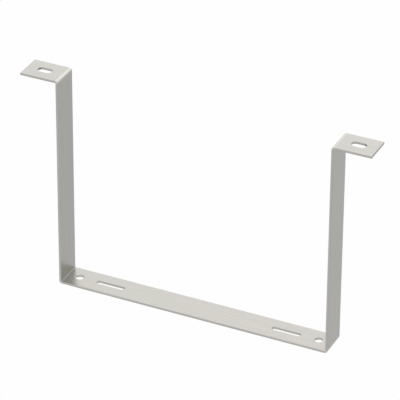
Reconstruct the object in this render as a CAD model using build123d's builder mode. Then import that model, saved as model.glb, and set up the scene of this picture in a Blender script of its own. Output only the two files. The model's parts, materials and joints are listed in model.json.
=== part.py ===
"""U bracket with outward flanges, folded from one flat stainless strip. Millimetres.

The web lies on the XY plane with its underside centre at the origin, its length along X and
its width along Y. The legs stand up along +Z and the flanges turn outwards at their tops.
"""

import os

from build123d import *

# Strip stock
strip_width = 40.0
strip_thickness = 3.0
edge_radius = 0.3  # left on the sheared edges by deburring
inner_bend_radius = 0.5  # a tight fold, over the sharp nose of the press tool

# Folded shape
web_length = 380.0  # over the outer faces of the two legs
overall_height = 300.0  # from the web's underside to the tops of the flanges
flange_length = 50.0  # from a leg's outer face to the flange's free end

# Slots in the flanges, for M10 bolts into the ceiling or frame above
flange_slot_length = 20.0
flange_slot_width = 11.0
flange_slot_inset = 25.0  # slot centre from the flange's free end

# Round holes in the web, for M10 bolts, close to the legs
web_hole_diameter = 11.0
web_hole_inset = 20.0  # hole centre from the leg's outer face

# Long slots in the web, for small bolts, clips or ties
web_slot_length = 40.0
web_slot_width = 7.0
web_slot_inset = 65.0  # slot centre from the leg's outer face

# Places worked out from the sizes above
half_thickness = strip_thickness / 2
leg_outer_x = web_length / 2
leg_middle_x = leg_outer_x - half_thickness
flange_end_x = leg_outer_x + flange_length
flange_middle_z = overall_height - half_thickness
middle_bend_radius = inner_bend_radius + half_thickness
flange_slot_x = flange_end_x - flange_slot_inset
web_hole_x = leg_outer_x - web_hole_inset
web_slot_x = leg_outer_x - web_slot_inset

with BuildPart() as bracket:
    # Edge-on view of the strip: its middle line takes the four bends, then its thickness
    with BuildSketch(Plane.XZ) as strip_section:
        with BuildLine() as middle_line:
            FilletPolyline(
                (-flange_end_x, flange_middle_z),
                (-leg_middle_x, flange_middle_z),
                (-leg_middle_x, half_thickness),
                (leg_middle_x, half_thickness),
                (leg_middle_x, flange_middle_z),
                (flange_end_x, flange_middle_z),
                radius=middle_bend_radius,
            )
        trace(line_width=strip_thickness)
    extrude(amount=strip_width / 2, both=True)

    # Sheared edges along both sides and across both free ends, rounded by deburring
    faces_along_x = bracket.faces().group_by(Axis.X)
    sheared_faces = bracket.faces().filter_by(Axis.Y) + faces_along_x[0] + faces_along_x[-1]
    fillet(sheared_faces.edges(), radius=edge_radius)

    # Slots through the flanges
    with BuildSketch(Plane.XY.offset(overall_height)) as flange_slots:
        with Locations((-flange_slot_x, 0), (flange_slot_x, 0)):
            SlotOverall(flange_slot_length, flange_slot_width)
    extrude(amount=-strip_thickness, mode=Mode.SUBTRACT)

    # Round holes and long slots through the web
    with BuildSketch(Plane.XY) as web_openings:
        with Locations((-web_hole_x, 0), (web_hole_x, 0)):
            Circle(web_hole_diameter / 2)
        with Locations((-web_slot_x, 0), (web_slot_x, 0)):
            SlotOverall(web_slot_length, web_slot_width)
    extrude(amount=strip_thickness, mode=Mode.SUBTRACT)

bracket.part.label = "bracket"

os.makedirs("parts", exist_ok=True)
export_step(bracket.part, "parts/bracket.step")
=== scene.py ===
# %% [markdown]
# # A U bracket folded from stainless strip
# The real bracket starts as one flat length of 40 x 3 mm strip. It is cut to length, its holes
# and slots are punched, its edges are deburred, and a press folds it four times. This lesson makes
# it in the same order: a flat blank with its openings, rounded edges, four folds, and then a
# finish whose grain was brushed into the strip before it was bent.

# %% Load the fixed frame
import json
import math

import bmesh
import bpy
from mathutils import Matrix, Vector


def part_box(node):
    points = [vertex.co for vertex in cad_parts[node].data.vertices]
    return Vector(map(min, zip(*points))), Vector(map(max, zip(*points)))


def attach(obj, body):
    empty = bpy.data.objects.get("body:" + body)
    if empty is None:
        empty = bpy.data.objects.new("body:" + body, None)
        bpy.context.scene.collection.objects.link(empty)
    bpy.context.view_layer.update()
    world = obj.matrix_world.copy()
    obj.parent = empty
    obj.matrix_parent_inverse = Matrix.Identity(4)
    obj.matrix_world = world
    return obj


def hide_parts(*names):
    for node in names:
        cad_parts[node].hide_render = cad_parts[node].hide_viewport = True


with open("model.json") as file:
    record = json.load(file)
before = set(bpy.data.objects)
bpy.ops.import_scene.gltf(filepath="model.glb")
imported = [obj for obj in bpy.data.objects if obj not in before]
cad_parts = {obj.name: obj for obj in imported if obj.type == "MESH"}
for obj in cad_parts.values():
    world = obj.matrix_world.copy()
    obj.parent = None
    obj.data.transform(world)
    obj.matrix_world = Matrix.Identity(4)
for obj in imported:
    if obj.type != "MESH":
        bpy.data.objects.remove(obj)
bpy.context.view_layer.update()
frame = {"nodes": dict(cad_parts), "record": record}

cad_low, cad_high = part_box("bracket")
print("frame box in mm:", [round(v * 1000, 2) for v in (*cad_low, *cad_high)])

# %% [markdown]
# ## Camera
# A long lens far away keeps the bracket's upright legs almost parallel, so its proportions can be
# read. A camera can be placed by hand and turned until it looks right. Here it is set by where it
# aims, its turn round the bracket, its height above the horizon and its distance, because those
# are the numbers that someone at a tripod would write down.

# %% Place the camera
AIM = Vector((0.00237, 0.0, 0.16595))
AIM_DISTANCE = 3.99587
TURN_ROUND = math.radians(25.139)
HEIGHT_ABOVE = math.radians(31.014)
ROLL = math.radians(0.404)
LENS_MM = 285.58

camera_data = bpy.data.cameras.new("long_lens")
camera_data.lens = LENS_MM
camera_data.sensor_width = 36.0
camera_data.clip_start = 0.1
camera_data.clip_end = 60.0
camera = bpy.data.objects.new("camera", camera_data)
bpy.context.scene.collection.objects.link(camera)
bpy.context.scene.camera = camera

back = Vector((math.sin(TURN_ROUND) * math.cos(HEIGHT_ABOVE),
               -math.cos(TURN_ROUND) * math.cos(HEIGHT_ABOVE),
               math.sin(HEIGHT_ABOVE)))
camera.location = AIM + back * AIM_DISTANCE
camera.rotation_mode = "QUATERNION"
level = (-back).to_track_quat("-Z", "Y")
camera.rotation_quaternion = level @ Matrix.Rotation(ROLL, 3, "Z").to_quaternion()
print("camera at", [round(v, 3) for v in camera.location])

# %% [markdown]
# ## Sizes, read from the frame
# Nothing is measured twice. The frame's box gives the outside, its mounts give the openings and
# the thickness, and the frame's own mesh gives the two sizes that neither holds: how far out the
# legs stand, and the radius of a fold.

# %% Read the sizes
mounts = {mount["name"]: mount for mount in frame["record"]["mounts"]}
cad_places = [v.co.copy() for v in frame["nodes"]["bracket"].data.vertices]

TOUCH = 1e-6
half_width = cad_high.y
height = cad_high.z
flange_end = cad_high.x
thickness = mounts["web_seat"]["pos_m"][2]
leg_outer = max(abs(p.x) for p in cad_places if p.z < height / 2)
outer_radius = min(p.z for p in cad_places if abs(p.x) > leg_outer - TOUCH and p.z < height / 2)
inner_radius = outer_radius - thickness
middle_radius = inner_radius + thickness / 2
print("leg_outer", round(leg_outer, 5), "thickness", thickness, "inner_radius", round(inner_radius, 5))

# %% [markdown]
# ## The fold, as a list of runs
# A folded strip is a walk along its middle line: straight runs, and quarter turns between them.
# The bracket could be modelled folded from the start, but then its grain and its openings would
# have to be placed on every face apart. Here each run keeps its flat length, so one list gives the
# length of the flat blank and later carries every point of it to its folded place.

# %% List the runs of the strip
QUARTER = math.pi / 2
flange_run = flange_end - leg_outer - inner_radius
leg_run = height - 2 * (thickness + inner_radius)
web_run = 2 * (leg_outer - thickness - inner_radius)
fold_run = QUARTER * middle_radius
runs = [
    (flange_run, 0.0),
    (fold_run, -QUARTER),
    (leg_run, 0.0),
    (fold_run, QUARTER),
    (web_run, 0.0),
    (fold_run, QUARTER),
    (leg_run, 0.0),
    (fold_run, -QUARTER),
    (flange_run, 0.0),
]
blank_length = sum(length for length, turn in runs)
print("flat blank is", round(blank_length * 1000, 2), "mm long")


def folded(flat):
    """Where a point of the flat blank (along, across, up from the middle) goes when it is folded."""
    along, across, up = flat
    corner = Vector((-flange_end, height - thickness / 2))
    heading = 0.0
    for length, turn in runs:
        here = min(along, length)
        ahead = Vector((math.cos(heading), math.sin(heading)))
        left = Vector((-ahead.y, ahead.x))
        last = along <= length
        if turn:
            centre = corner + left * math.copysign(middle_radius, turn)
            swept = turn * here / length
            arm = Matrix.Rotation(swept, 2) @ (corner - centre)
            corner = centre + arm
            heading += swept
            left = Matrix.Rotation(swept, 2) @ left
        else:
            corner = corner + ahead * here
        if last:
            break
        along -= length
    place = corner + left * up
    return Vector((place.x, across, place.y))


# %% [markdown]
# ## The flat blank
# The real blank is a plain rectangle of strip. A mesh of it needs more points than four corners.
# Cuts across it mark the folds, which need several narrow steps each to bend smoothly, and the
# borders of the cells that hold the openings. Two cuts along it leave a narrow rim, so that the
# rounding of the long edges has clean quads to work on.

# %% Cut the blank into cells
FOLD_STEPS = 12
RIM = 0.001
LAND = 0.0008
CELL_MARGIN = 0.004


def cut(bm, place, direction):
    """Cuts every face of the blank along one line, and keeps both sides."""
    everything = bm.verts[:] + bm.edges[:] + bm.faces[:]
    bmesh.ops.bisect_plane(bm, geom=everything, dist=TOUCH / 10, plane_co=place, plane_no=direction)


openings = []
for name in ("flange_slots", "web_holes", "web_slots"):
    dims = mounts[name]["dims"]
    opening_width = dims["hole_r_mm"] / 500
    opening_length = dims.get("slot_length_mm", 2 * dims["hole_r_mm"]) / 1000
    out_from_middle = dims["spacing_x_mm"] / 2000
    if name == "flange_slots":
        from_middle = blank_length / 2 - (flange_end - out_from_middle)
    else:
        from_middle = out_from_middle
    for side in (-1, 1):
        openings.append((blank_length / 2 + side * from_middle, opening_length, opening_width))

blank = bmesh.new()
whole_size = Matrix.Diagonal((blank_length, 2 * half_width, 1, 1))
outline = Matrix.Translation((blank_length / 2, 0, 0)) @ whole_size
bmesh.ops.create_grid(blank, x_segments=1, y_segments=1, size=0.5, matrix=outline)

start = 0.0
for length, turn in runs:
    steps = FOLD_STEPS if turn else 1
    for step in range(steps):
        cut(blank, (start + length * step / steps, 0, 0), (1, 0, 0))
    start += length
for middle, length, width in openings:
    for side in (-1, 1):
        cut(blank, (middle + side * (length / 2 + CELL_MARGIN), 0, 0), (1, 0, 0))
for side in (-1, 1):
    cut(blank, (0, side * (half_width - RIM), 0), (0, 1, 0))
print("blank cells:", len(blank.faces))

# %% [markdown]
# ## Punch the openings
# The real openings are punched through the flat strip, so their walls stand square to it. A
# boolean cut would do it, but leaves long thin faces that a bevel can't round. Here a slot is a
# circle whose two halves are pulled apart, a little larger than the opening. The rest of its cell
# is filled up to it, and the slot's face is inset to the true size before it is deleted. The
# inset leaves an even band of quads round the opening, which the rounding of the rim needs.

# %% Punch round holes and slots
ROUND_STEPS = 64


def slot_face(bm, middle, length, width):
    """A face in the outline of a slot, or of a round hole if its length is its width."""
    half_step = math.pi / ROUND_STEPS
    place = Matrix.Translation((middle, 0, 0)) @ Matrix.Rotation(half_step, 4, "Z")
    radius = width / 2 / math.cos(half_step)
    ring = bmesh.ops.create_circle(bm, cap_ends=True, segments=ROUND_STEPS, radius=radius,
                                   matrix=place)["verts"]
    reach = (length - width) / 2
    for side in (-1, 1):
        half = [v for v in ring if (v.co.x - middle) * side > 0]
        bmesh.ops.translate(bm, verts=half, vec=(side * reach, 0, 0))
    return ring[0].link_faces[0]


for middle, length, width in openings:
    cell = min(blank.faces, key=lambda face: (face.calc_center_median() - Vector((middle, 0, 0))).length)
    border = cell.edges[:]
    bmesh.ops.delete(blank, geom=[cell], context="FACES_ONLY")
    land = slot_face(blank, middle, length + 2 * LAND, width + 2 * LAND)
    bmesh.ops.triangle_fill(blank, edges=border + land.edges[:], use_beauty=True, normal=(0, 0, 1))
    bmesh.ops.inset_region(blank, faces=[land], thickness=LAND, use_even_offset=True)
    bmesh.ops.delete(blank, geom=[land], context="FACES_ONLY")
bmesh.ops.recalc_face_normals(blank, faces=blank.faces[:])
print("faces after punching:", len(blank.faces), "openings:", len(openings))

# %% [markdown]
# ## Thickness and rounded edges
# Deburring takes the sharpness off the strip before it goes to the press. Modifiers could thicken
# and bevel the folded shape, but the tight inner folds would pinch the rounding. So the sheet
# gets its thickness while it is still flat, and then its edges are rounded: finely on the rims of
# the openings, and a little more on the sheared outline, where they catch the light in thin lines.

# %% Thicken and round the blank
OUTLINE_RADIUS = 0.0003
RIM_RADIUS = 0.00015
SHARP = math.radians(60)

bmesh.ops.solidify(blank, geom=blank.faces[:], thickness=thickness)
lowest = min(v.co.z for v in blank.verts)
bmesh.ops.translate(blank, verts=blank.verts[:], vec=(0, 0, -thickness / 2 - lowest))
bmesh.ops.recalc_face_normals(blank, faces=blank.faces[:])


def on_outline(vert):
    """True on the blank's long edges and free ends, false round an opening."""
    at_end = min(vert.co.x, blank_length - vert.co.x) < TOUCH
    return at_end or half_width - abs(vert.co.y) < TOUCH


sharp = [e for e in blank.edges if len(e.link_faces) == 2 and e.calc_face_angle() > SHARP]
outline_edges = [e for e in sharp if all(on_outline(v) for v in e.verts)]
rim_edges = [e for e in sharp if not any(on_outline(v) for v in e.verts)]
print("sharp edges:", len(outline_edges), "on the outline and", len(rim_edges), "on rims")
bmesh.ops.bevel(blank, geom=rim_edges, offset=RIM_RADIUS, offset_type="OFFSET", segments=2,
                profile=0.5, affect="EDGES", material=-1)
outline_edges = [e for e in outline_edges if e.is_valid]
bmesh.ops.bevel(blank, geom=outline_edges, offset=OUTLINE_RADIUS, offset_type="OFFSET", segments=3,
                profile=0.5, affect="EDGES", material=-1)

# %% [markdown]
# ## Fold it
# The press makes four folds, two in each direction. A bend modifier turns a whole object at once,
# and four of them in a row are hard to keep exact. Here each point first writes down its flat place
# in an attribute called blank, which the finish reads, and then moves to its folded place. The
# inner side of a fold shortens and the outer side stretches by themselves, because the walk turns
# about the middle of the thickness.

# %% Fold the blank into the bracket
flat_place = blank.verts.layers.float_vector.new("blank")
for vert in blank.verts:
    vert[flat_place] = vert.co
    vert.co = folded(vert.co)

strip_mesh = bpy.data.meshes.new("folded_strip")
blank.to_mesh(strip_mesh)
blank.free()
strip_mesh.polygons.foreach_set("use_smooth", [True] * len(strip_mesh.polygons))
strip = bpy.data.objects.new("folded_strip", strip_mesh)
bpy.context.scene.collection.objects.link(strip)

flat_first = strip.modifiers.new("flat_faces_first", "WEIGHTED_NORMAL")
flat_first.mode = "FACE_AREA"
flat_first.keep_sharp = True

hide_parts("bracket")
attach(strip, "root")
print("folded strip:", len(strip_mesh.vertices), "points,", len(strip_mesh.polygons), "faces")

# %% [markdown]
# ## A small language for shaders
# A finish could be wired by hand in the node editor, but it is easier to read as arithmetic. A
# Wire holds one output socket. Adding or multiplying wires adds Math nodes, and its make method
# adds any other node: first its settings, then the values or wires of its sockets.

# %% Wrap a socket
class Wire:
    """One output socket of a node tree, on which +, - and * add Math nodes."""

    def __init__(self, tree, socket=None):
        self.tree = tree
        self.socket = socket

    def make(self, kind, settings=None, inputs=None, output=0):
        """Adds a node: its settings first, then the values or wires of its sockets."""
        node = self.tree.nodes.new("ShaderNode" + kind)
        for name, value in (settings or {}).items():
            setattr(node, name, value)
        for name, value in (inputs or {}).items():
            if isinstance(value, Wire):
                self.tree.links.new(value.socket, node.inputs[name])
            else:
                node.inputs[name].default_value = value
        return Wire(self.tree, node.outputs[output])

    def math(self, operation, *values):
        """Adds a Math node for the operation on these values or wires."""
        return self.make("Math", {"operation": operation}, dict(enumerate(values)))

    def size(self):
        """How far the wire's value is from zero."""
        return self.math("ABSOLUTE", self)

    def __add__(self, other):
        return self.math("ADD", self, other)

    def __sub__(self, other):
        return self.math("SUBTRACT", self, other)

    def __mul__(self, other):
        return self.math("MULTIPLY", self, other)

    def __rsub__(self, other):
        return self.math("SUBTRACT", other, self)

    __radd__ = __add__
    __rmul__ = __mul__


def new_shader(owner):
    """Empties the owner's node tree and returns a wire to build on, and its output node."""
    owner.use_nodes = True
    tree = owner.node_tree
    tree.nodes.clear()
    kind = "ShaderNodeOutputWorld" if isinstance(owner, bpy.types.World) else "ShaderNodeOutputMaterial"
    return Wire(tree), tree.nodes.new(kind)


def sees_white(wire):
    """1 for the camera, mirror rays and rays through glass, which see a plain white background."""
    rays = wire.make("LightPath").socket.node
    camera_ray = Wire(wire.tree, rays.outputs["Is Camera Ray"])
    glossy_ray = Wire(wire.tree, rays.outputs["Is Glossy Ray"])
    through_ray = Wire(wire.tree, rays.outputs["Is Transmission Ray"])
    return camera_ray + glossy_ray + through_ray


# %% [markdown]
# ## Stainless strip with a satin finish
# The strip is brushed stainless steel. A belt leaves fine grain along it, the mill leaves wider
# streaks and faint clouds, and shearing leaves cut faces with a smooth band near the top and a torn,
# duller one below. The cut faces are painted lighter and the free ends darker, as painted light and
# shade, and each fold gets a painted highlight along its bend line, brightest on its outside. A
# painted image could show all this, but it would stretch over the folds. Noise that reads the flat
# place of each point is folded with the strip, as the real grain is. First come two helpers: a
# smooth rise between two values, and noise in long thin cells.

# %% Make two helpers for masks and noise
steel = bpy.data.materials.new("satin_stainless")
wire, steel_output = new_shader(steel)
place = wire.make("Attribute", {"attribute_name": "blank"}, output=1)
place_parts = place.make("SeparateXYZ", inputs={0: place}).socket.node
along = Wire(steel.node_tree, place_parts.outputs[0])
up = Wire(steel.node_tree, place_parts.outputs[2])


def between(value, start, end):
    """Rises smoothly from 0 where the value is at the start to 1 where it is at the end."""
    return value.make("MapRange", {"interpolation_type": "SMOOTHSTEP"},
                      {"Value": value, "From Min": start, "From Max": end, "To Min": 0.0, "To Max": 1.0})


def noise(cell, detail):
    """Noise on the flat strip, in cells of the given size along it, across it and through it."""
    in_cells = place.make("Mapping", {"vector_type": "TEXTURE"}, {"Vector": place, "Scale": cell})
    return place.make("TexNoise", {"noise_dimensions": "3D"},
                      {"Vector": in_cells, "Scale": 1.0, "Detail": detail, "Roughness": 0.55})


GRAIN_CELL = (0.050, 0.00030, 0.010)
STREAK_CELL = (0.110, 0.00170, 0.020)
CLOUD_CELL = (0.030, 0.01600, 0.020)
TEAR_CELL = (0.00035, 0.00035, 0.006)

grain = noise(GRAIN_CELL, 4.0)
streak = noise(STREAK_CELL, 2.0)
cloud = noise(CLOUD_CELL, 3.0)
tearing = noise(TEAR_CELL, 3.0)
print("grain, streaks, clouds and tearing:", len(steel.node_tree.nodes), "nodes")

# %% [markdown]
# ## Where the finish changes
# Masks say where the metal was sheared or torn, where its ends are, and where the folds carry a
# painted highlight. They could be painted by hand, but the flat place already tells them: up is at
# half the thickness on the rolled faces and less on the cut ones, and the distance from the strip's
# middle tells how near a fold is.

# %% Find the sheared edges and the folds
FACE_RIM = 0.00005
FACE_REACH = 0.00035
END_START = 0.0004
END_FULL = 0.0001
FOLD_HIGHLIGHT_START = 0.9 * fold_run
FOLD_HIGHLIGHT_FULL = 0.3 * fold_run
OUTSIDE_SHARE = 0.7

sheared = between(up.size(), thickness / 2 - FACE_RIM, thickness / 2 - FACE_REACH)
torn = sheared * between(up, thickness / 6, 0.0)
from_middle = (along - blank_length / 2).size()
# The free ends of the strip are drawn darker, as painted shade.
at_end = between(from_middle, blank_length / 2 - END_START, blank_length / 2 - END_FULL)

# The upper side of the flat strip is the inside of the web's folds and the outside of the flanges'.
upper_side = between(up, -thickness / 4, thickness / 4)
web_fold = (web_run + fold_run) / 2
flange_fold = blank_length / 2 - flange_run - fold_run / 2
# Painted highlight along each fold line, mostly on the outside of each bend.
web_fold_highlight = between((from_middle - web_fold).size(), FOLD_HIGHLIGHT_START, FOLD_HIGHLIGHT_FULL)
flange_fold_highlight = between((from_middle - flange_fold).size(), FOLD_HIGHLIGHT_START, FOLD_HIGHLIGHT_FULL)
painted_fold_highlight = (web_fold_highlight * (1.0 - upper_side * OUTSIDE_SHARE)
          + flange_fold_highlight * (1.0 - OUTSIDE_SHARE + upper_side * OUTSIDE_SHARE))
print("folds at", round(1000 * web_fold, 2), "and", round(1000 * flange_fold, 2), "mm from the middle")

# %% [markdown]
# ## The stainless shader
# Stainless steel is a bare metal, so its colour tints what it mirrors and Metallic is 1. The grain
# could be left to roughness alone, but then it vanishes where the surroundings are even. Here it
# shifts the colour a little too, and lifts the surface by a few thousandths of a millimetre.

# %% Make the stainless finish
STEEL = (0.352, 0.347, 0.326)
GRAIN_SHARE = 0.06
STREAK_SHARE = 0.22
CLOUD_SHARE = 0.04
FOLD_HIGHLIGHT_GAIN = 0.26
END_PAINTED_SHADE = 0.34
CUT_FACE_PAINTED_LIGHT = 0.33
TORN_LOSS = 0.12
ROUGH = 0.25
GRAIN_ROUGH = 0.08
STREAK_ROUGH = 0.04
TORN_ROUGH = 0.12
RELIEF_DEPTH = 0.00002
RELIEF_STRENGTH = 0.15

shade = (1.0 - (GRAIN_SHARE + STREAK_SHARE + CLOUD_SHARE) / 2
         + grain * GRAIN_SHARE + streak * STREAK_SHARE + cloud * CLOUD_SHARE)
# Painted highlight along each fold, and painted shade on the free ends.
shade = shade * (1.0 + painted_fold_highlight * FOLD_HIGHLIGHT_GAIN) * (1.0 - at_end * END_PAINTED_SHADE)
# The cut faces are drawn a third lighter as painted light. Their torn lower band is duller, with torn
# noise.
shade = shade * (1.0 + sheared * CUT_FACE_PAINTED_LIGHT - torn * TORN_LOSS + torn * tearing * TORN_LOSS)
colour = place.make("VectorMath", {"operation": "SCALE"}, {0: STEEL, "Scale": shade})
roughness = ROUGH + grain * GRAIN_ROUGH + streak * STREAK_ROUGH + torn * TORN_ROUGH
relief = grain * (1.0 - sheared) + tearing * sheared
bump = place.make("Bump", inputs={"Strength": RELIEF_STRENGTH, "Distance": RELIEF_DEPTH,
                                  "Height": relief})
surface = place.make("BsdfPrincipled", inputs={"Base Color": colour, "Metallic": 1.0,
                                               "Roughness": roughness, "Normal": bump})
steel.node_tree.links.new(surface.socket, steel_output.inputs["Surface"])
strip_mesh.materials.append(steel)
print("stainless shader:", len(steel.node_tree.nodes), "nodes")

# %% [markdown]
# ## Floor
# The bracket stands on pale paper. Real paper would need a lot of light to look white, and the
# bracket would be overlit. So the camera sees the paper mostly as plain white of strength 1, with
# a small share of its true shading, which keeps the bracket's soft shadow. Mirror rays and rays
# through glass see the same white, so the metal shows the paper that it stands on.

# %% Make the floor
FLOOR_SIZE = 12.0
FLOOR_DROP = 0.0001
FLOOR_COLOUR = (0.80, 0.80, 0.79, 1.0)
SEEN_WHITE = 0.97

floor_bm = bmesh.new()
bmesh.ops.create_grid(floor_bm, x_segments=1, y_segments=1, size=FLOOR_SIZE / 2,
                      matrix=Matrix.Translation((0, 0, cad_low.z - FLOOR_DROP)))
floor_mesh = bpy.data.meshes.new("studio_floor")
floor_bm.to_mesh(floor_mesh)
floor_bm.free()
floor = bpy.data.objects.new("studio_floor", floor_mesh)
bpy.context.scene.collection.objects.link(floor)

paper = bpy.data.materials.new("pale_floor")
wire, paper_output = new_shader(paper)
matt = wire.make("BsdfDiffuse", inputs={"Color": FLOOR_COLOUR})
white = wire.make("Emission", inputs={"Color": (1, 1, 1, 1), "Strength": 1.0})
seen = wire.make("MixShader", inputs={0: sees_white(wire) * SEEN_WHITE, 1: matt, 2: white})
paper.node_tree.links.new(seen.socket, paper_output.inputs["Surface"])
floor_mesh.materials.append(paper)
print("floor of", FLOOR_SIZE, "m, seen", SEEN_WHITE, "white")

# %% [markdown]
# ## World
# A white backdrop could be made with strong lamps, but they would overlight the bracket. Here the
# camera, mirror rays and rays through glass see plain white of strength 1, so bare metal mirrors the
# same backdrop that is seen behind it. Everything else gets a dimmer, even light.

# %% Make the world
WORLD_LIGHT = 0.65

world = bpy.data.worlds.new("studio_world")
bpy.context.scene.world = world
wire, world_output = new_shader(world)
strength = WORLD_LIGHT + sees_white(wire) * (1.0 - WORLD_LIGHT)
sky = wire.make("Background", inputs={"Color": (1, 1, 1, 1), "Strength": strength})
world.node_tree.links.new(sky.socket, world_output.inputs["Surface"])
print("world of", len(world.node_tree.nodes), "nodes")

# %% [markdown]
# ## Lamps
# An even white world leaves every face of bare metal equally bright. So a wide softbox hangs behind
# the bracket: the web, the flanges and the outsides of the folds mirror it and come out brighter
# than the legs, which mirror the paper. A smaller one at the front left gives the floor its soft
# shadow. It is hidden from mirror rays, because it would leave glints along the rounded edges.

# %% Place the softboxes
BACK_PLACE = (0.00, 1.85, 1.30)
BACK_SIZE = (3.2, 1.5)
BACK_GLOW = 0.98
BACK_TINT = (1.0, 0.975, 0.955)
KEY_PLACE = (-0.90, -1.30, 1.90)
KEY_SIZE = (1.8, 1.8)
KEY_GLOW = 1.00
KEY_TINT = (1.0, 1.0, 1.0)
LAMP_AIM = Vector((0.0, 0.0, 0.1))


def softbox(name, place, size, glow, tint):
    """A rectangular lamp turned to the bracket, whose face shines as strongly as its glow says."""
    lamp = bpy.data.lights.new(name, "AREA")
    lamp.shape = "RECTANGLE"
    lamp.size = size[0]
    lamp.size_y = size[1]
    lamp.energy = glow * math.pi * size[0] * size[1]
    lamp.color = tint
    box = bpy.data.objects.new(name, lamp)
    box.location = place
    box.rotation_mode = "QUATERNION"
    box.rotation_quaternion = (LAMP_AIM - Vector(place)).to_track_quat("-Z", "Y")
    box.visible_camera = False
    bpy.context.scene.collection.objects.link(box)
    print(name, "at", place, "with", round(lamp.energy, 1), "W")
    return box


back_box = softbox("back_softbox", BACK_PLACE, BACK_SIZE, BACK_GLOW, BACK_TINT)
key_box = softbox("key_softbox", KEY_PLACE, KEY_SIZE, KEY_GLOW, KEY_TINT)
key_box.visible_glossy = False

# %% [markdown]
# ## Finish
# The Standard view shows colours as they are written.

# %% Finish
bpy.context.scene.view_settings.view_transform = "Standard"
